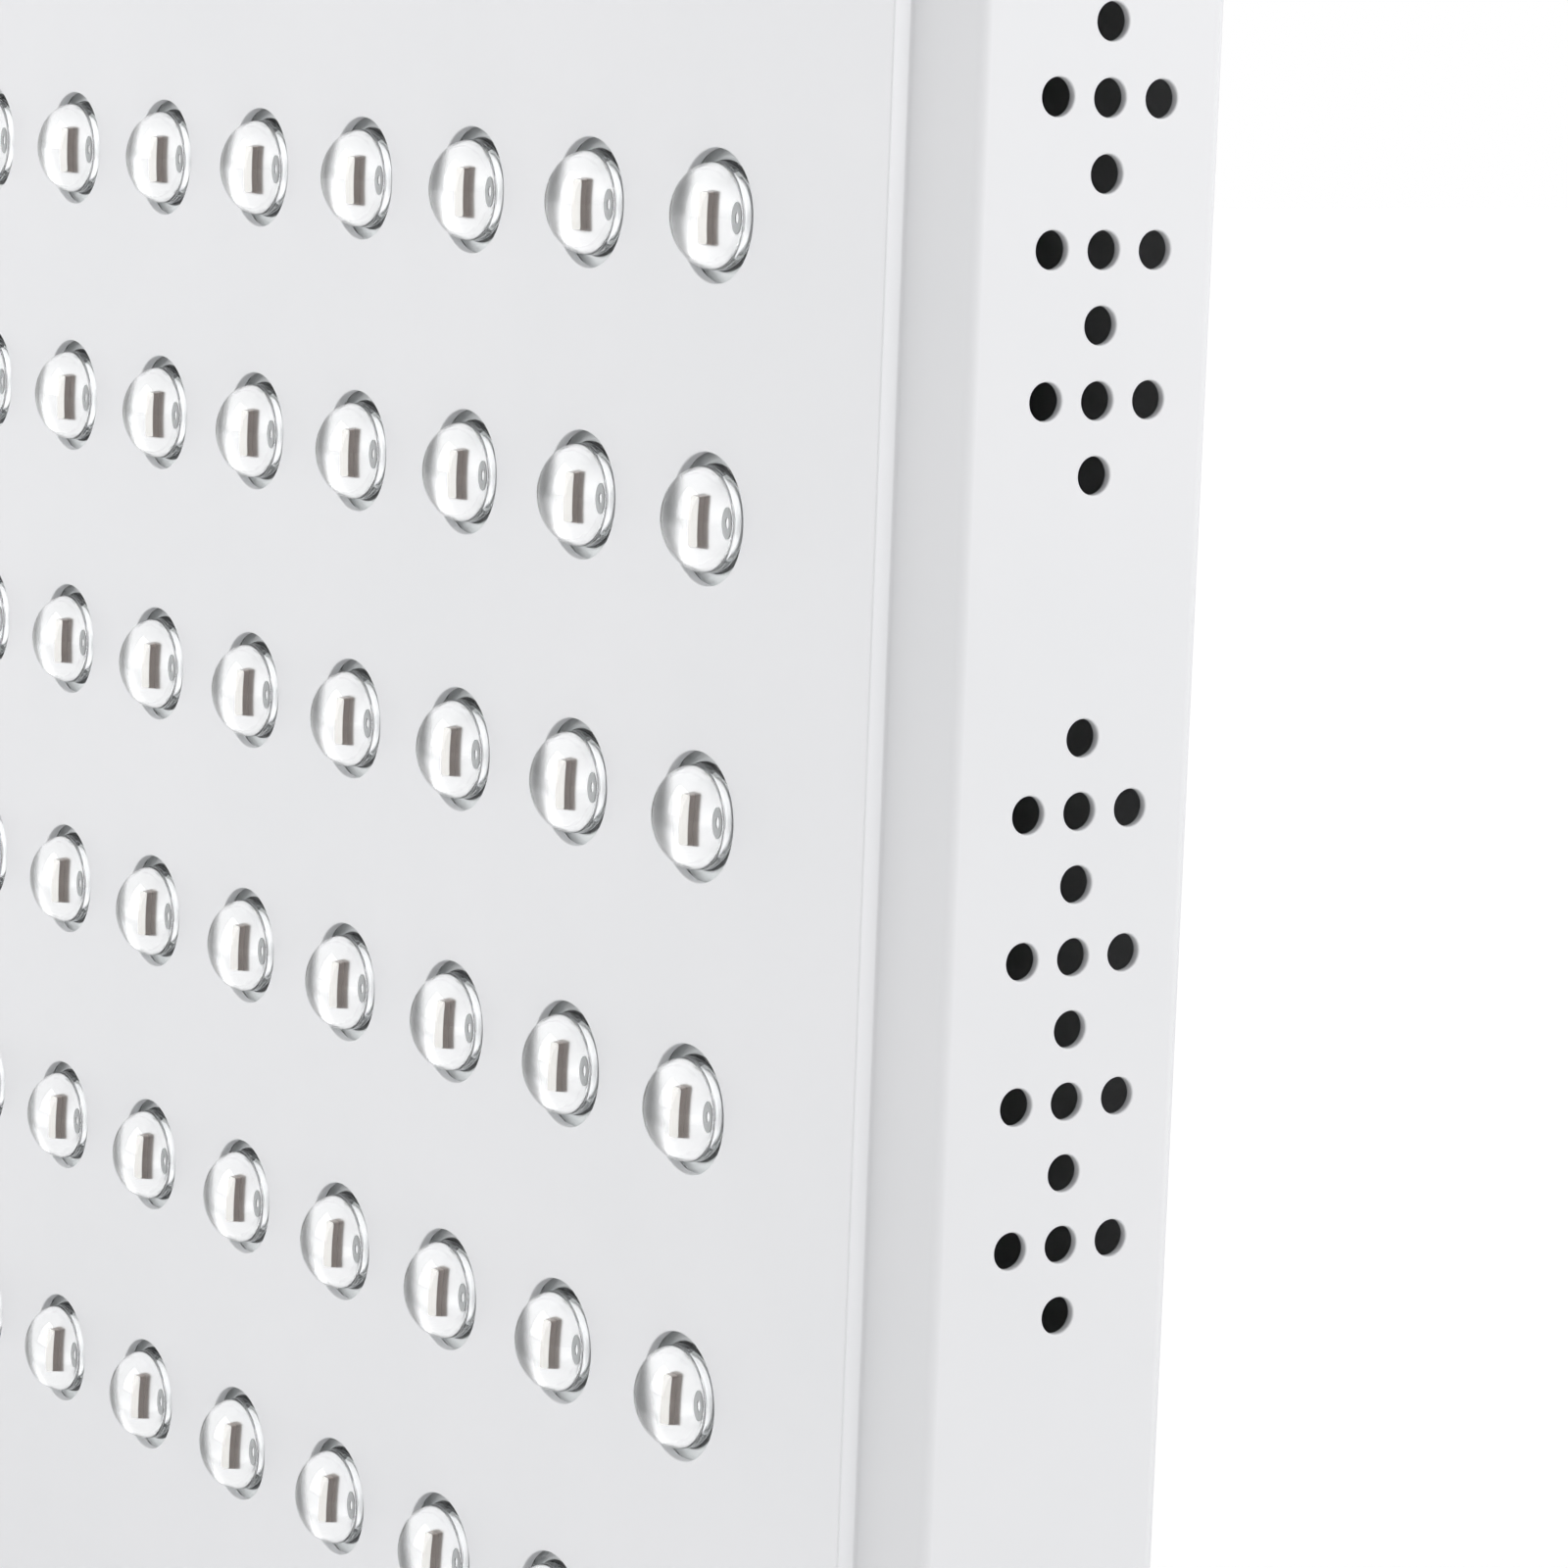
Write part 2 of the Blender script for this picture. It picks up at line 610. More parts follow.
def heat_sink_outline():
    """The extrusion's section, in X and depth from its front face: lips forward, fins back."""
    lip = SINK_FRONT_DEPTH - FLANGE_BACK_DEPTH - SEAT_GAP
    half = SINK_HALF_WIDTH
    inner = half - SINK_LIP_WIDTH
    back = SINK_BASE_THICKNESS
    points = [(-half, -lip), (-inner, -lip), (-inner, 0)]
    points += [(inner, 0), (inner, -lip), (half, -lip), (half, back)]
    for fin in reversed(range(SINK_FIN_COUNT)):
        x = (fin - (SINK_FIN_COUNT - 1) / 2) * SINK_FIN_PITCH
        right = x + SINK_FIN_THICKNESS / 2
        left = x - SINK_FIN_THICKNESS / 2
        tip = back + SINK_FIN_HEIGHT
        points += [(right, back), (right, tip), (left, tip), (left, back)]
    points.append((-half, back))
    return points


def build_heat_sink():
    mesh = outline_mesh("heat_sink", heat_sink_outline(), SINK_LENGTH)
    mesh_object("heat_sink", mesh, ALUMINIUM, place(0, SINK_FRONT_DEPTH, LIGHT_CENTRE_HEIGHT))


def build_rear_cover():
    """The flat cover on the rear flange, cut for fans, inlet, switches and screws."""
    width = HOUSING_WIDTH - 2 * COVER_INSET
    cover = mesh_object(
        "rear_cover",
        box_mesh("cover", width, COVER_THICKNESS, HOUSING_HEIGHT - 2 * COVER_INSET),
        WHITE_PAINT,
        place(0, (COVER_FRONT_DEPTH + COVER_BACK_DEPTH) / 2, MID_HEIGHT),
    )
    through = COVER_THICKNESS + 2 * CUT_OVERRUN
    depth = (COVER_FRONT_DEPTH + COVER_BACK_DEPTH) / 2
    throat = disc_mesh("throat", FAN_THROAT_DIAMETER, through, 24)
    places = [(place(0, depth, height), REARWARD) for _, height in fan_places()]
    cut(cover, helper("fan_opening_cutter", repeated_mesh("fan_openings", throat, places)))
    fan_hole = disc_mesh("fan_hole", FAN_HOLE_DIAMETER, through, 8)
    places = [
        (place(dx, depth, height + dz), REARWARD)
        for _, height in fan_places()
        for dx, dz in fan_screw_offsets()
    ]
    cut(cover, helper("fan_hole_cutter", repeated_mesh("fan_holes", fan_hole, places)))
    screw_hole = disc_mesh("cover_hole", COVER_SCREW_SHANK_DIAMETER + 2 * RUNNING_GAP, through, 8)
    places = [(place(x, depth, height), REARWARD) for x, height in cover_screw_places()]
    cut(cover, helper("cover_hole_cutter", repeated_mesh("cover_holes", screw_hole, places)))
    inlet_hole = box_mesh(
        "inlet_hole", INLET_BODY_WIDTH + 2 * SEAT_GAP, through, INLET_BODY_HEIGHT + 2 * SEAT_GAP
    )
    cut(cover, helper("inlet_hole_cutter", inlet_hole, place(INLET_CENTRE_X, depth, INLET_CENTRE_HEIGHT)))
    inlet_screw_hole = disc_mesh("screw_hole", INLET_SCREW_SHANK_DIAMETER + 2 * RUNNING_GAP, through, 8)
    places = [(place(x, depth, INLET_CENTRE_HEIGHT), REARWARD) for _, x in inlet_screw_places()]
    cut(cover, helper("inlet_screw_cutter", repeated_mesh("inlet_screw_holes", inlet_screw_hole, places)))
    switch_hole = box_mesh(
        "switch_hole", SWITCH_BODY_WIDTH + 2 * SEAT_GAP, through, SWITCH_BODY_HEIGHT + 2 * SEAT_GAP
    )
    places = [(place(x, depth, SWITCH_CENTRE_HEIGHT), UPRIGHT) for _, x in switch_places()]
    cut(cover, helper("switch_hole_cutter", repeated_mesh("switch_holes", switch_hole, places)))


def screw_mesh(name, shank_diameter, shank_length, head_diameter, head_height):
    """A screw along Z: its tapered head stands above zero, and its shank hangs below."""
    head = head_diameter / 2
    shank = shank_diameter / 2
    profile = [
        (0, head_height),
        (head * SCREW_CROWN_SHARE, head_height),
        (head, 0),
        (shank, 0),
        (shank, -shank_length),
        (0, -shank_length),
    ]
    return turned_mesh(name, profile, 8)


def build_cover_screws():
    mesh = screw_mesh(
        "cover_screw",
        COVER_SCREW_SHANK_DIAMETER,
        COVER_SCREW_LENGTH,
        COVER_SCREW_HEAD_DIAMETER,
        COVER_SCREW_HEAD_HEIGHT,
    )
    mesh.materials.append(BRIGHT_STEEL)
    for index, (x, height) in enumerate(cover_screw_places()):
        seat = place(x, COVER_BACK_DEPTH + SEAT_GAP, height)
        mesh_object(f"cover_screw_{index + 1}", mesh, None, seat, REARWARD)


def build_fan(name, height):
    """A fan: a square frame round its throat, a motor plate on struts, and the rotor on its shaft."""
    centre = place(0, FAN_BACK_DEPTH - FAN_DEPTH / 2, height)
    frame = mesh_object(
        f"{name}_fan_frame",
        rounded_box_mesh(name + "_frame", FAN_SIZE, FAN_DEPTH, FAN_SIZE, FAN_CORNER_RADIUS, 1),
        BLACK_PLASTIC,
        centre,
    )
    through = FAN_DEPTH + 2 * CUT_OVERRUN
    throat = disc_mesh("throat", FAN_THROAT_DIAMETER, through, 24)
    cut(frame, helper(name + "_throat", throat, centre, REARWARD))
    hole = disc_mesh("frame_hole", FAN_HOLE_DIAMETER, through, 8)
    places = [(centre + Vector((dx, 0, dz)), REARWARD) for dx, dz in fan_screw_offsets()]
    cut(frame, helper(name + "_frame_holes", repeated_mesh("frame_holes", hole, places)))
    plate_depth = FAN_BACK_DEPTH - FAN_MOTOR_PLATE_THICKNESS / 2
    plate_centre = place(0, plate_depth, height)
    plate = disc_mesh("motor_plate", FAN_HUB_DIAMETER, FAN_MOTOR_PLATE_THICKNESS, 12)
    join(frame, helper(name + "_motor_plate", plate, plate_centre, REARWARD))
    arm_start = FAN_HUB_DIAMETER * STRUT_START_SHARE
    arm_length = FAN_THROAT_DIAMETER / 2 + FAN_RIM_WALL / 2 - arm_start
    arm = box_mesh("strut", arm_length, FAN_MOTOR_PLATE_THICKNESS, FAN_STRUT_WIDTH)
    arm.transform(Matrix.Translation((arm_start + arm_length / 2, 0, 0)))
    places = [(plate_centre, Euler((0, math.radians(angle), 0))) for angle in (0, 90, 180, 270)]
    join(frame, helper(name + "_struts", repeated_mesh("struts", arm, places)))
    bore_length = FAN_MOTOR_PLATE_THICKNESS + 2 * CUT_OVERRUN
    bore = disc_mesh("bore", FAN_SHAFT_DIAMETER + 2 * RUNNING_GAP, bore_length, 8)
    cut(frame, helper(name + "_bore", bore, plate_centre, REARWARD))
    build_rotor(name, height)


def blade_mesh(root, tip, depth):
    """One fan blade: a sheet that turns about the axis as it runs through the rotor's depth."""
    bm = bmesh.new()
    sweep = math.radians(FAN_BLADE_SWEEP_DEG)
    rows = []
    for share in (-0.5, 0, 0.5):
        angle = sweep * share
        z = depth * share
        rows.append([bm.verts.new((r * math.cos(angle), r * math.sin(angle), z)) for r in (root, tip)])
    for low, high in zip(rows, rows[1:]):
        bm.faces.new((low[0], low[1], high[1], high[0]))
    return mesh_of(bm, "blade_sheet")


def build_rotor(name, height):
    """The rotor: a cup with swept blades, and a shaft that runs in the motor plate's bore."""
    back = FAN_BACK_DEPTH - FAN_MOTOR_PLATE_THICKNESS - RUNNING_GAP
    run = back - FAN_FRONT_DEPTH - FAN_BLADE_INSET
    middle = place(0, back - run / 2, height)
    half = run / 2
    radius = FAN_HUB_DIAMETER / 2
    shaft = FAN_SHAFT_DIAMETER / 2
    shaft_top = half + RUNNING_GAP + FAN_MOTOR_PLATE_THICKNESS
    rounding = run * ROTOR_ROUNDING_SHARE
    profile = [
        (0, shaft_top),
        (shaft, shaft_top),
        (shaft, half),
        (radius, half),
        (radius, -half + rounding),
        (radius - rounding, -half),
        (0, -half),
    ]
    axis = axis_empty(f"{name}_fan_axis", middle)
    hub = turned_mesh("rotor", profile, 12)
    rotor = mesh_object(f"{name}_fan_rotor", hub, BLACK_PLASTIC, middle, REARWARD)
    tip = FAN_THROAT_DIAMETER / 2 - FAN_BLADE_TIP_GAP
    blade = blade_mesh(radius * BLADE_ROOT_SHARE, tip, run - 2 * rounding)
    sheet = helper(name + "_blade_sheet", blade)
    wall = sheet.modifiers.new("Solidify", "SOLIDIFY")
    wall.thickness = FAN_BLADE_THICKNESS
    wall.offset = 0.0
    bpy.context.view_layer.update()
    graph = bpy.context.evaluated_depsgraph_get()
    blade = bpy.data.meshes.new_from_object(sheet.evaluated_get(graph))
    bpy.data.objects.remove(sheet)
    places = [
        (Vector(), Euler((0, 0, math.tau * index / FAN_BLADE_COUNT)))
        for index in range(FAN_BLADE_COUNT)
    ]
    blades = helper(name + "_blades", repeated_mesh("blades", blade, places), middle, REARWARD)
    join(rotor, blades)
    hang_on(rotor, axis)


def guard_ring_radii():
    """The rings' radii, evenly spaced from the hub ring out to the rim that covers the throat's edge."""
    outer = FAN_THROAT_DIAMETER / 2 - GUARD_RIM_OVERLAP
    step = (outer - GUARD_HUB_RING_RADIUS) / (GUARD_RING_COUNT - 1)
    return [GUARD_HUB_RING_RADIUS + index * step for index in range(GUARD_RING_COUNT)]


def ring_mesh(name, radius, wire, around, section):
    """A wire ring about Z."""
    bpy.ops.mesh.primitive_torus_add(
        major_radius=radius, minor_radius=wire / 2, major_segments=around, minor_segments=section
    )
    made = bpy.context.object
    mesh = made.data
    bpy.data.objects.remove(made)
    mesh.name = name
    return mesh


def build_guard(name, height):
    """The wire guard: rings on two crossed wires, with an eye under each fan screw."""
    wire = GUARD_WIRE_DIAMETER
    centre = place(0, GUARD_RING_DEPTH, height)
    radii = guard_ring_radii()
    rings = [ring_mesh("guard_ring", radius, wire, 14, 4) for radius in radii]
    guard = mesh_object(f"{name}_fan_guard", rings[0], BRIGHT_STEEL, centre, REARWARD)
    for index, ring in enumerate(rings[1:]):
        join(guard, helper(f"{name}_guard_ring_{index + 2}", ring, centre, REARWARD))
    reach = FAN_HOLE_SPACING / math.sqrt(2)
    start = radii[0] - wire
    length = reach - GUARD_EYE_RADIUS - start
    spoke = box_mesh("spoke", length, wire, wire)
    spoke.transform(Matrix.Translation((start + length / 2, 0, 0)))
    eye = ring_mesh("guard_eye", GUARD_EYE_RADIUS, wire, 6, 4)
    seat = place(0, GUARD_DEPTH, height)
    for index in range(4):
        turn = Euler((0, math.radians(45 + 90 * index), 0))
        arm = helper(f"{name}_spoke_{index}", spoke.copy(), seat, turn)
        join(guard, arm)
        spot = seat + Vector((reach, 0, 0)) @ turn.to_matrix().transposed()
        join(guard, helper(f"{name}_guard_eye_{index}", eye.copy(), spot, REARWARD))


def build_fan_screws(name, height):
    mesh = screw_mesh(
        "fan_screw",
        FAN_SCREW_SHANK_DIAMETER,
        FAN_SCREW_LENGTH,
        FAN_SCREW_HEAD_DIAMETER,
        FAN_SCREW_HEAD_HEIGHT,
    )
    mesh.materials.append(BRIGHT_STEEL)
    for index, (dx, dz) in enumerate(fan_screw_offsets()):
        seat = place(dx, FAN_SCREW_SEAT_DEPTH, height + dz)
        mesh_object(f"{name}_fan_screw_{index + 1}", mesh, None, seat, REARWARD)


def driver_sides():
    """The two drivers' names and the side of the fans that each lies on."""
    yield "red", -1
    yield "infrared", 1


def driver_x(side):
    inner = FAN_SIZE / 2 + DRIVER_FAN_GAP
    return side * (inner + DRIVER_WIDTH / 2)


def build_drivers():
    """One driver for each colour, on the heat sink's back at either side of the fans."""
    for name, side in driver_sides():
        centre = place(
            driver_x(side), SINK_BACK_DEPTH + SEAT_GAP + DRIVER_HEIGHT / 2, MID_HEIGHT + DRIVER_CENTRE_RAISE
        )
        mesh = rounded_box_mesh(
            "driver", DRIVER_WIDTH, DRIVER_HEIGHT, DRIVER_LENGTH, DRIVER_EDGE_RADIUS, 2
        )
        mesh_object(f"{name}_driver", mesh, GREY_PLASTIC, centre)


def socket_outline():
    """The socket's section, in X and down from its middle, with its two lower corners cut off."""
    half = INLET_SOCKET_WIDTH / 2
    foot = INLET_SOCKET_HEIGHT / 2
    inner = half - INLET_SOCKET_CORNER
    knee = foot - INLET_SOCKET_CORNER
    return [(-half, -foot), (half, -foot), (half, knee), (inner, foot), (-inner, foot), (-half, knee)]


def inlet_screw_places():
    yield "left", INLET_CENTRE_X - INLET_SCREW_SPACING / 2
    yield "right", INLET_CENTRE_X + INLET_SCREW_SPACING / 2


def blade_offsets():
    """The three blades' names and their offsets in x and height from the socket's middle."""
    yield "live", BLADE_SPACING, BLADE_EARTH_DROP / 2
    yield "neutral", -BLADE_SPACING, BLADE_EARTH_DROP / 2
    yield "earth", 0, -BLADE_EARTH_DROP / 2


def build_inlet():
    """The mains inlet: a flanged moulding with a three-blade socket above a fuse drawer."""
    flange_front = COVER_BACK_DEPTH + SEAT_GAP
    mouth = flange_front + INLET_FLANGE_THICKNESS
    body_front = flange_front - INLET_BODY_DEPTH
    body_length = mouth - body_front
    inlet = mesh_object(
        "power_inlet",
        box_mesh("inlet", INLET_BODY_WIDTH, body_length, INLET_BODY_HEIGHT),
        BLACK_PLASTIC,
        place(INLET_CENTRE_X, body_front + body_length / 2, INLET_CENTRE_HEIGHT),
    )
    flange = rounded_box_mesh(
        "inlet_flange",
        INLET_FLANGE_WIDTH,
        INLET_FLANGE_THICKNESS,
        INLET_FLANGE_HEIGHT,
        INLET_FLANGE_CORNER,
        1,
        1,
    )
    flange_centre = place(INLET_CENTRE_X, flange_front + INLET_FLANGE_THICKNESS / 2, INLET_CENTRE_HEIGHT)
    join(inlet, helper("inlet_flange", flange, flange_centre))
    socket_height = INLET_CENTRE_HEIGHT + INLET_SOCKET_RAISE
    socket_length = INLET_SOCKET_DEPTH + CUT_OVERRUN
    socket = outline_mesh("socket", socket_outline(), socket_length)
    floor = mouth - INLET_SOCKET_DEPTH
    socket_middle = place(INLET_CENTRE_X, floor + socket_length / 2, socket_height)
    cut(inlet, helper("socket_cutter", socket, socket_middle, REARWARD))
    drawer_height = INLET_CENTRE_HEIGHT - DRAWER_DROP
    slot_length = DRAWER_DEPTH + RUNNING_GAP + CUT_OVERRUN
    slot = box_mesh("slot", DRAWER_WIDTH + 2 * RUNNING_GAP, slot_length, DRAWER_HEIGHT + 2 * RUNNING_GAP)
    slot_floor = mouth - DRAWER_DEPTH - RUNNING_GAP
    slot_middle = place(INLET_CENTRE_X, slot_floor + slot_length / 2, drawer_height)
    cut(inlet, helper("drawer_slot_cutter", slot, slot_middle))
    screw_hole = disc_mesh(
        "inlet_hole",
        INLET_SCREW_SHANK_DIAMETER + 2 * RUNNING_GAP,
        INLET_FLANGE_THICKNESS + 2 * CUT_OVERRUN,
        8,
    )
    hole_depth = flange_front + INLET_FLANGE_THICKNESS / 2
    places = [(place(x, hole_depth, INLET_CENTRE_HEIGHT), REARWARD) for _, x in inlet_screw_places()]
    cut(inlet, helper("inlet_flange_hole_cutter", repeated_mesh("inlet_flange_holes", screw_hole, places)))
    blade_length = INLET_SOCKET_DEPTH - BLADE_TIP_SETBACK + (floor - body_front) + BLADE_TAB_LENGTH
    blade_back = mouth - BLADE_TIP_SETBACK
    blade_depth = blade_back - blade_length / 2
    for name, dx, dz in blade_offsets():
        spot = place(INLET_CENTRE_X + dx, blade_depth, socket_height + dz)
        slot = box_mesh(
            "blade_slot",
            BLADE_WIDTH + 2 * RUNNING_GAP,
            blade_length + 2 * CUT_OVERRUN,
            BLADE_HEIGHT + 2 * RUNNING_GAP,
        )
        cut(inlet, helper(f"{name}_blade_slot", slot, spot))
        blade = box_mesh("blade", BLADE_WIDTH, blade_length, BLADE_HEIGHT)
        mesh_object(f"{name}_blade", blade, BRASS, spot)
    screw = screw_mesh(
        "inlet_screw",
        INLET_SCREW_SHANK_DIAMETER,
        INLET_SCREW_LENGTH,
        INLET_SCREW_HEAD_DIAMETER,
        INLET_SCREW_HEAD_HEIGHT,
    )
    screw.materials.append(BRIGHT_STEEL)
    for name, x in inlet_screw_places():
        seat = place(x, INLET_SCREW_SEAT_DEPTH, INLET_CENTRE_HEIGHT)
        mesh_object(f"inlet_screw_{name}", screw, None, seat, REARWARD)
    build_fuse_drawer(mouth, drawer_height)


def build_fuse_drawer(mouth, height):
    """The drawer that slides out of the inlet, with the glass fuse lying across it."""
    length = DRAWER_DEPTH + DRAWER_FACE_PROUD
    centre = place(INLET_CENTRE_X, mouth - DRAWER_DEPTH + length / 2, height)
    axis = axis_empty("fuse_drawer_axis", centre)
    block = box_mesh("drawer", DRAWER_WIDTH, length, DRAWER_HEIGHT)
    drawer = mesh_object("fuse_drawer", block, GREY_PLASTIC, centre)
    trough_width = FUSE_LENGTH + 2 * SEAT_GAP
    trough_depth = FUSE_DIAMETER + 2 * SEAT_GAP
    trough_height = DRAWER_HEIGHT - DRAWER_WALL + CUT_OVERRUN
    trough = box_mesh("trough", trough_width, trough_depth, trough_height)
    floor = height - DRAWER_HEIGHT / 2 + DRAWER_WALL
    fuse_depth = mouth - DRAWER_DEPTH / 2
    trough_middle = place(INLET_CENTRE_X, fuse_depth, floor + trough_height / 2)
    cut(drawer, helper("trough_cutter", trough, trough_middle))
    fuse_centre = place(INLET_CENTRE_X, fuse_depth, floor + SEAT_GAP + FUSE_DIAMETER / 2)
    tube = disc_mesh("fuse", FUSE_DIAMETER, FUSE_LENGTH, 10)
    fuse = mesh_object("fuse", tube, GLASS, fuse_centre, SIDEWAYS)
    smooth(fuse)
    hang_on(drawer, axis)
    hang_on(fuse, axis)


def rocker_outline():
    """The rocker's section in depth and height about its pivot: dished top, ends round the pivot."""
    half = SWITCH_BODY_HEIGHT / 2 - SWITCH_WALL - RUNNING_GAP
    end = math.radians(ROCKER_END_DEG)
    points = [(-ROCKER_KEEL, 0)]
    for side in (-1, 1):
        steps = (-1, 0, 1) if side < 0 else (1, 0, -1)
        arc = [
            (half * math.sin(step * end), side * half * math.cos(step * end))
            for step in steps
        ]
        points += arc
        if side < 0:
            points.append((ROCKER_CROWN - ROCKER_DISH, 0))
    tilt = Matrix.Rotation(math.radians(-ROCKER_TILT_DEG), 2)
    return [tuple(tilt @ Vector(point)) for point in points]


def build_switch(name, x):
    """A rocker switch: a bezelled body with a well, and the rocker on its trunnions, resting at off."""
    bezel_front = COVER_BACK_DEPTH + SEAT_GAP
    mouth = bezel_front + SWITCH_BEZEL_THICKNESS
    body_front = bezel_front - SWITCH_BODY_DEPTH
    length = mouth - body_front
    body = mesh_object(
        f"{name}_switch_body",
        box_mesh("switch_body", SWITCH_BODY_WIDTH, length, SWITCH_BODY_HEIGHT),
        BLACK_PLASTIC,
        place(x, body_front + length / 2, SWITCH_CENTRE_HEIGHT),
    )
    bezel = box_mesh("bezel", SWITCH_BEZEL_WIDTH, SWITCH_BEZEL_THICKNESS, SWITCH_BEZEL_HEIGHT)
    bezel_centre = place(x, bezel_front + SWITCH_BEZEL_THICKNESS / 2, SWITCH_CENTRE_HEIGHT)
    join(body, helper(name + "_bezel", bezel, bezel_centre))
    well_width = SWITCH_BODY_WIDTH - 2 * SWITCH_WALL
    well_height = SWITCH_BODY_HEIGHT - 2 * SWITCH_WALL
    pivot_depth = mouth - ROCKER_PIVOT_DEPTH
    swing = math.radians(ROCKER_END_DEG + 2 * ROCKER_TILT_DEG)
    well_floor = pivot_depth - SWITCH_BODY_HEIGHT / 2 * math.sin(swing)
    well_length = mouth + CUT_OVERRUN - well_floor
    well = box_mesh("well", well_width, well_length, well_height)
    cut(body, helper(name + "_well", well, place(x, well_floor + well_length / 2, SWITCH_CENTRE_HEIGHT)))
    pivot = place(x, pivot_depth, SWITCH_CENTRE_HEIGHT)
    socket_length = well_width + 2 * (TRUNNION_REACH + RUNNING_GAP)
    socket = disc_mesh("trunnion_socket", TRUNNION_DIAMETER + 2 * RUNNING_GAP, socket_length, 8)
    cut(body, helper(name + "_trunnion_sockets", socket, pivot, SIDEWAYS))
    axis = axis_empty(f"{name}_rocker_axis", pivot)
    rocker_width = well_width - 2 * RUNNING_GAP
    paddle = outline_mesh("rocker", rocker_outline(), rocker_width)
    rocker = mesh_object(f"{name}_rocker", paddle, BLACK_PLASTIC, pivot, OUTLINE_ALONG_X)
    trunnion = disc_mesh("trunnion", TRUNNION_DIAMETER, well_width + 2 * TRUNNION_REACH, 8)
    join(rocker, helper(name + "_trunnions", trunnion, pivot, SIDEWAYS))
    hang_on(rocker, axis)


def build_terminal_block():
    """The terminal block on the housing's floor, its ways parted by grooves."""
    height = SHEET_THICKNESS + SEAT_GAP + TERMINAL_HEIGHT / 2
    centre = place(TERMINAL_CENTRE_X, TERMINAL_CENTRE_DEPTH, height)
    solid = box_mesh("block", TERMINAL_WIDTH, TERMINAL_DEPTH, TERMINAL_HEIGHT)
    block = mesh_object("terminal_block", solid, GREY_PLASTIC, centre)
    groove_length = TERMINAL_DEPTH + 2 * CUT_OVERRUN
    groove = box_mesh("groove", TERMINAL_GROOVE_WIDTH, groove_length, TERMINAL_GROOVE_DEPTH + CUT_OVERRUN)
    way = TERMINAL_WIDTH / TERMINAL_WAY_COUNT
    top = centre + Vector((0, 0, TERMINAL_HEIGHT / 2 - TERMINAL_GROOVE_DEPTH / 2 + CUT_OVERRUN / 2))
    places = [
        (top + Vector(((index - (TERMINAL_WAY_COUNT - 2) / 2) * way, 0, 0)), UPRIGHT)
        for index in range(TERMINAL_WAY_COUNT - 1)
    ]
    cut(block, helper("groove_cutter", repeated_mesh("grooves", groove, places)))


def bezier_point(points, t):
    """The point at share t of the cubic curve that four points set."""
    a, b, c, d = points
    s = 1 - t
    return a * s**3 + b * 3 * s * s * t + c * 3 * s * t * t + d * t**3


def build_lead(name, start, start_way, end, end_way, reach):
    """An inner lead: it leaves its start along start_way, and enters its end against end_way."""
    first = start + Vector(start_way) * LEAD_DIAMETER
    last = end + Vector(end_way) * LEAD_DIAMETER
    bend = [first, first + Vector(start_way) * reach, last + Vector(end_way) * reach, last]
    spots = [bezier_point(bend, index / (LEAD_POINTS - 1)) for index in range(LEAD_POINTS)]
    spots = [start, *spots, end]
    curve = bpy.data.curves.new(name, "CURVE")
    curve.dimensions = "3D"
    curve.bevel_depth = LEAD_DIAMETER / 2
    curve.bevel_resolution = 1
    curve.use_fill_caps = True
    spline = curve.splines.new("POLY")
    spline.points.add(len(spots) - 1)
    for point, spot in zip(spline.points, spots):
        point.co = (*spot, 1)
    curve.materials.append(BLACK_PLASTIC)
    made = bpy.data.objects.new(name, curve)
    PARTS.objects.link(made)


def build_leads():
    """The leads that stay inside: inlet to terminals, terminals to switches, switches to drivers."""
    air = SEAT_GAP
    body_front = COVER_BACK_DEPTH + SEAT_GAP - INLET_BODY_DEPTH
    tab_front = body_front - BLADE_TAB_LENGTH
    socket_height = INLET_CENTRE_HEIGHT + INLET_SOCKET_RAISE
    block_mid = SHEET_THICKNESS + SEAT_GAP + TERMINAL_HEIGHT / 2
    block_left = TERMINAL_CENTRE_X - TERMINAL_WIDTH / 2
    block_right = TERMINAL_CENTRE_X + TERMINAL_WIDTH / 2
    start = place(INLET_CENTRE_X + BLADE_SPACING, tab_front - air, socket_height + BLADE_EARTH_DROP / 2)
    end = place(block_left - air, TERMINAL_CENTRE_DEPTH, block_mid)
    build_lead("inlet_lead", start, (0, -1, 0), end, (-1, 0, 0), LEAD_DIAMETER)
    switch_front = COVER_BACK_DEPTH + SEAT_GAP - SWITCH_BODY_DEPTH
    rise = (SWITCH_BODY_HEIGHT - LEAD_DIAMETER) / 2 - SWITCH_WALL
    way = (TERMINAL_DEPTH - LEAD_DIAMETER) / 2
    for (name, x), side in zip(switch_places(), (1, -1)):
        start = place(block_right + air, TERMINAL_CENTRE_DEPTH + side * way, block_mid)
        end = place(x, switch_front - air, SWITCH_CENTRE_HEIGHT - rise)
        build_lead(f"{name}_supply_lead", start, (1, 0, 0), end, (0, -1, 0), 2 * LEAD_DIAMETER)
    driver_foot = MID_HEIGHT + DRIVER_CENTRE_RAISE - DRIVER_LENGTH / 2
    driver_mid = SINK_BACK_DEPTH + SEAT_GAP + DRIVER_HEIGHT / 2
    for (name, x), (_, side) in zip(switch_places(), driver_sides()):
        start = place(x, switch_front - air, SWITCH_CENTRE_HEIGHT + rise)
        end = place(driver_x(side), driver_mid, driver_foot - air)
        build_lead(f"{name}_driver_lead", start, (0, -1, 0), end, (0, 0, -1), 2 * LEAD_DIAMETER)


def eye_places():
    yield "left", -EYE_SPACING / 2
    yield "right", EYE_SPACING / 2


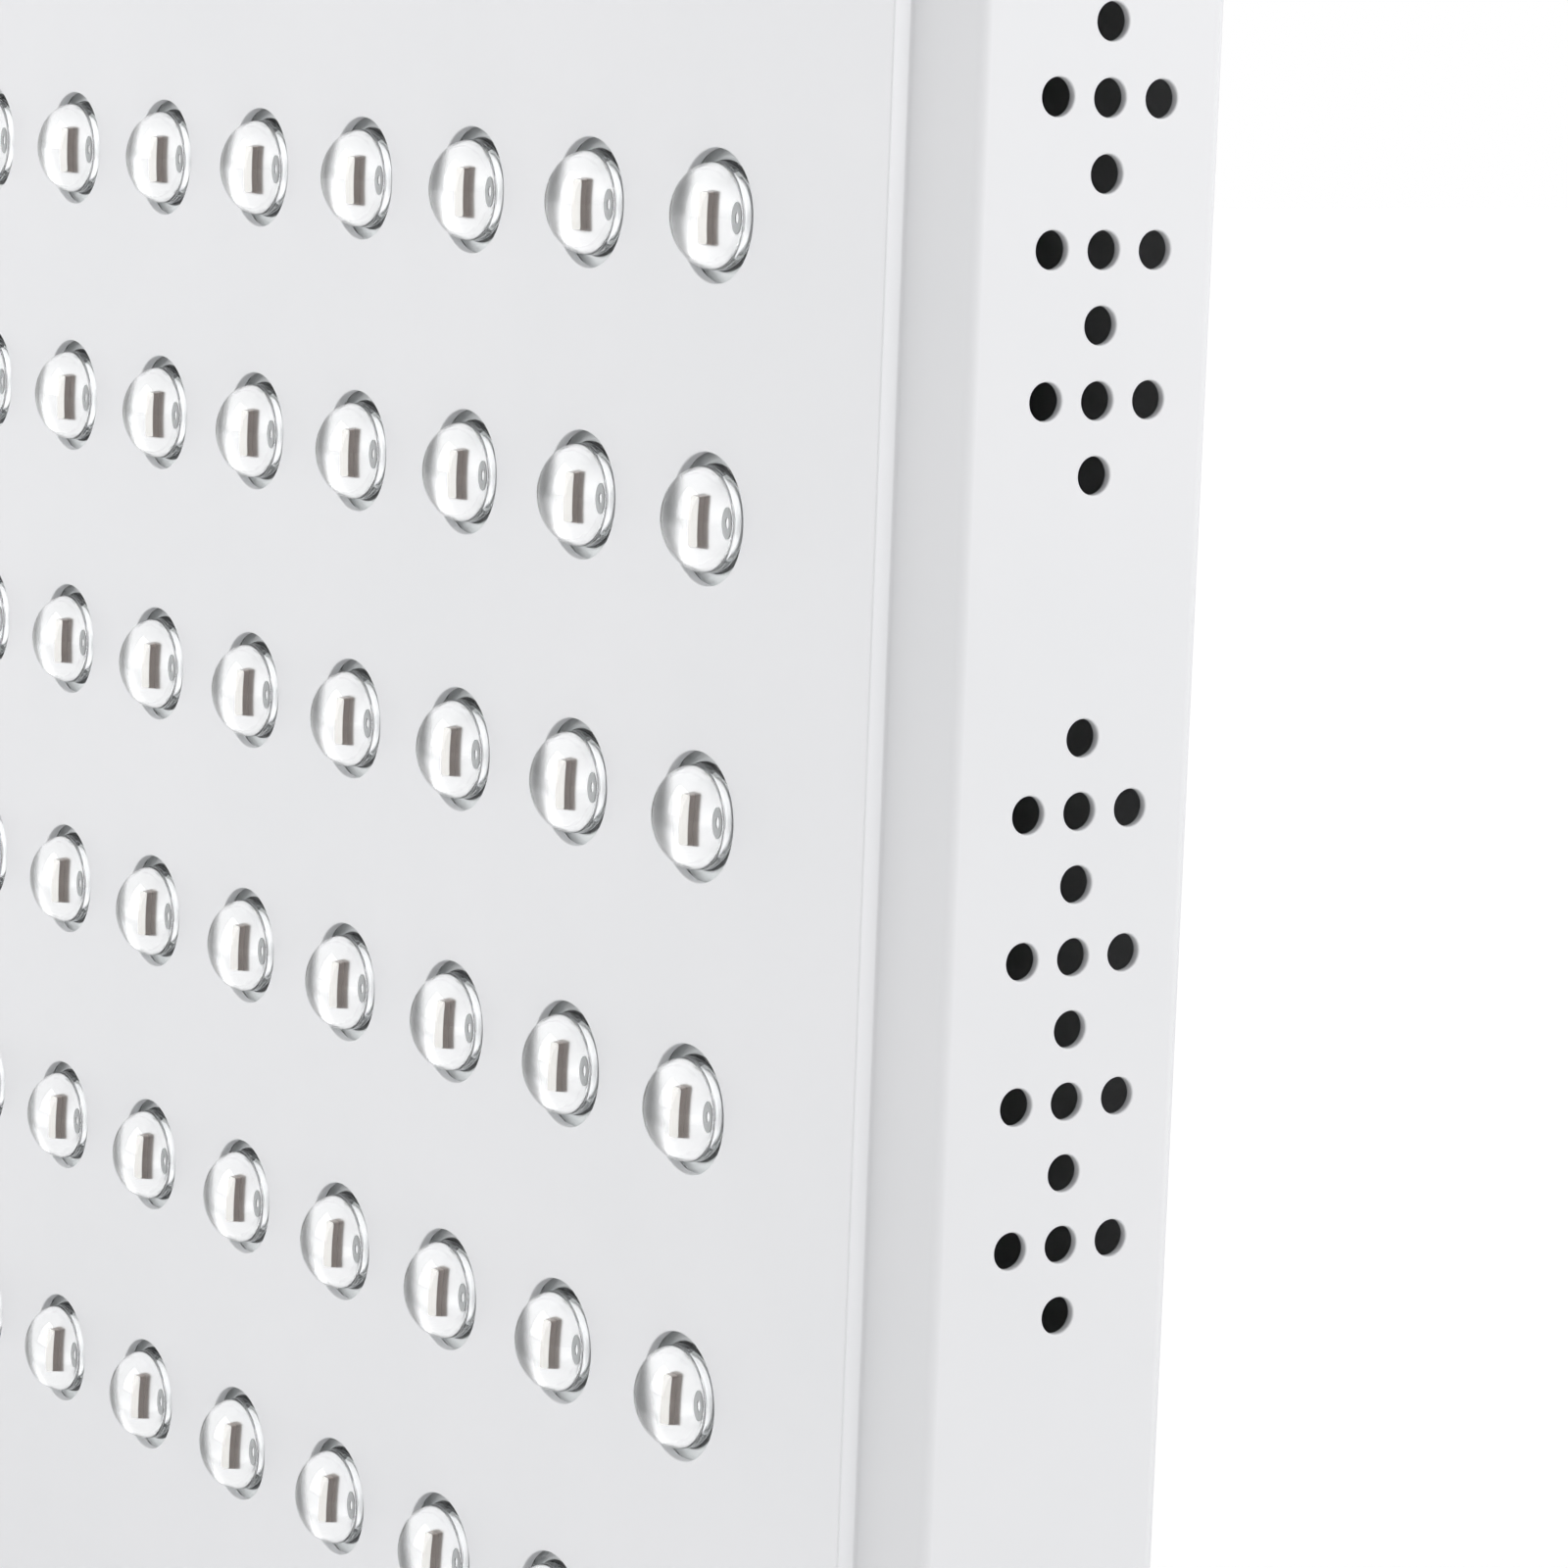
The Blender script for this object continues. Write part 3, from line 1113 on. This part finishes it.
def eye_depth():
    """The eyes stand over the middle of the housing's depth."""
    return (HOUSING_FRONT_DEPTH + CHAMFER + HOUSING_DEPTH) / 2


def build_eyes():
    """The hanging eyes: a ring on a collar, its shank through the top wall and held by a nut."""
    seat_height = HOUSING_HEIGHT + SEAT_GAP
    collar = EYE_COLLAR_DIAMETER / 2
    shank = EYE_SHANK_DIAMETER / 2
    profile = [
        (0, EYE_COLLAR_HEIGHT),
        (collar - EYE_COLLAR_ROUNDING, EYE_COLLAR_HEIGHT),
        (collar, EYE_COLLAR_HEIGHT - EYE_COLLAR_ROUNDING),
        (collar, 0),
        (shank, 0),
        (shank, -EYE_SHANK_LENGTH),
        (0, -EYE_SHANK_LENGTH),
    ]
    nut_corner = EYE_NUT_WIDTH / math.sqrt(3)
    nut_outline = [
        (nut_corner * math.cos(angle), nut_corner * math.sin(angle))
        for angle in (math.tau * corner / 6 for corner in range(6))
    ]
    for name, x in eye_places():
        seat = place(x, eye_depth(), seat_height)
        eye = mesh_object(f"hanging_eye_{name}", turned_mesh("eye", profile, 12), BRIGHT_STEEL, seat)
        ring = ring_mesh("eye_ring", EYE_RING_RADIUS, EYE_WIRE_DIAMETER, 14, 6)
        lift = EYE_COLLAR_HEIGHT + EYE_RING_RADIUS
        join(eye, helper(f"eye_ring_{name}", ring, seat + Vector((0, 0, lift)), REARWARD))
        nut_height = HOUSING_HEIGHT - SHEET_THICKNESS - SEAT_GAP - EYE_NUT_HEIGHT / 2
        nut = mesh_object(
            f"eye_nut_{name}",
            outline_mesh("nut", nut_outline, EYE_NUT_HEIGHT),
            BRIGHT_STEEL,
            place(x, eye_depth(), nut_height),
        )
        bore_length = EYE_NUT_HEIGHT + 2 * CUT_OVERRUN
        bore = disc_mesh("nut_bore", EYE_SHANK_DIAMETER + 2 * RUNNING_GAP, bore_length, 12)
        cut(nut, helper(f"nut_bore_{name}", bore, nut.location))


def build_feet():
    """Four rubber feet under the lower wall, near its front and rear edges."""
    radius = FOOT_DIAMETER / 2
    profile = [(0, FOOT_HEIGHT), (radius, FOOT_HEIGHT), (radius - FOOT_TAPER, 0), (0, 0)]
    mesh = turned_mesh("foot", profile, 12)
    mesh.materials.append(RUBBER)
    front = HOUSING_FRONT_DEPTH + CHAMFER + FOOT_EDGE_MARGIN + radius
    back = HOUSING_DEPTH - REAR_BEND - FOOT_EDGE_MARGIN - radius
    x = HOUSING_WIDTH / 2 - FOOT_END_MARGIN
    for row, depth in (("front", front), ("rear", back)):
        for side, sign in (("left", -1), ("right", 1)):
            spot = place(sign * x, depth, 0) - Vector((0, 0, HOUSING_BASE_Z))
            mesh_object(f"foot_{row}_{side}", mesh, None, spot)


def build_panel():
    build_housing()
    build_front_plate()
    build_boards()
    build_heat_sink()
    build_rear_cover()
    build_cover_screws()
    for name, height in fan_places():
        build_fan(name, height)
        build_guard(name, height)
        build_fan_screws(name, height)
    build_drivers()
    build_inlet()
    for name, x in switch_places():
        build_switch(name, x)
    build_terminal_block()
    build_leads()
    build_eyes()
    build_feet()


build_panel()
